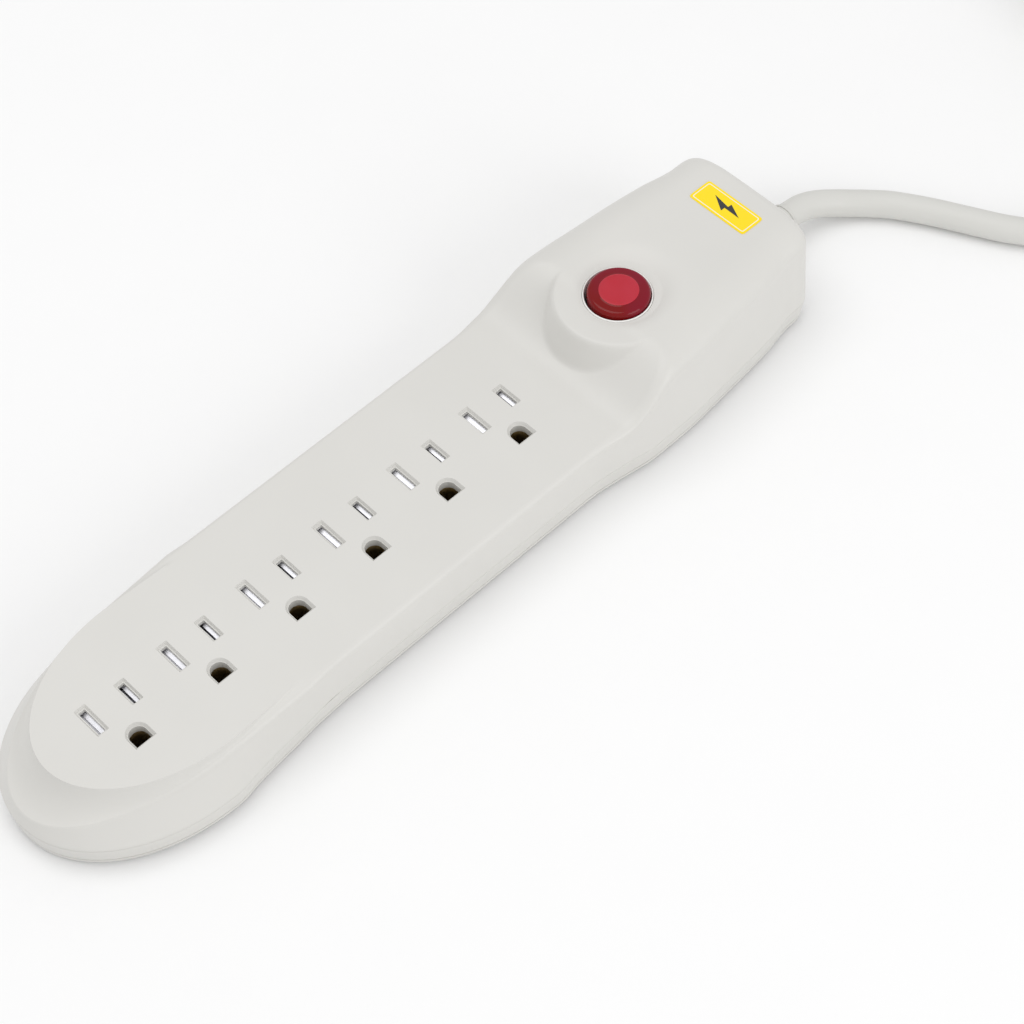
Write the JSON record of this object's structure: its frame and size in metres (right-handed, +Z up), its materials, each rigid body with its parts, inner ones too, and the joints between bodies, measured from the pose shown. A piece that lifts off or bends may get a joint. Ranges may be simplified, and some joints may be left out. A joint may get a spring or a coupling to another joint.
{
  "type": "power strip",
  "caption": "Long low power strip with a row of grounded outlets, a raised head with a round illuminated push button, and a coiled mains lead with a moulded plug.",
  "frame": {"origin": "under the middle of the strip, on the surface that its feet stand on", "axes": "+X along the strip towards the cord, +Z up, +Y towards the blade slots side"},
  "size_m": [0.5744, 0.1153, 0.0382],
  "materials": {
    "shell": "warm white moulded plastic, satin",
    "rubber": "matt black rubber",
    "steel": "zinc-plated steel",
    "plated": "nickel-plated brass strip",
    "brass": "brass strip",
    "black": "black moulded plastic",
    "bezel": "white moulded plastic",
    "glass": "clear glass",
    "cap": "clear deep red plastic, polished",
    "diffuser": "frosted red plastic",
    "wire_black": "PVC insulation",
    "wire_white": "PVC insulation",
    "wire_green": "PVC insulation",
    "cord": "soft PVC jacket",
    "yellow": "printed vinyl"
  },
  "bodies": {
    "strip": {"deck_housing": "shell", "head_housing": "shell", "bottom_cover": "shell", "foot_1": "rubber", "foot_2": "rubber", "foot_3": "rubber", "foot_4": "rubber", "cover_screw_1": "steel", "cover_screw_2": "steel", "cover_screw_3": "steel", "cover_screw_4": "steel", "cover_screw_5": "steel", "cover_screw_6": "steel", "neutral_busbar": "plated", "live_busbar": "plated", "earth_busbar": "brass", "switch_body": "black", "button_bezel": "bezel", "return_spring": "steel", "neon_lamp": "glass", "line_terminal": "brass", "load_terminal": "brass", "line_wire": "wire_black", "switched_wire": "wire_black", "neutral_wire": "wire_white", "earth_wire": "wire_green", "cord_jacket_end": "cord", "cord_clamp": "black", "clamp_screw_1": "steel", "clamp_screw_2": "steel", "strain_relief": "cord", "cord_lead": "cord", "cord_coil": "cord", "cord_tail": "cord", "plug_body": "cord", "plug_blade_neutral": "plated", "plug_blade_live": "plated", "plug_earth_pin": "plated", "label_plate": "yellow"},
    "button": {"button_cap": "cap", "button_diffuser": "diffuser", "plunger": "bezel"}
  },
  "joints": [
    {"name": "button_press", "type": "slide", "parent": "strip", "child": "button", "axis": [0, 0, -1], "range_m": [0, 0.0025], "stiffness_N_per_m": 500, "deforming": ["return_spring"]}
  ]
}
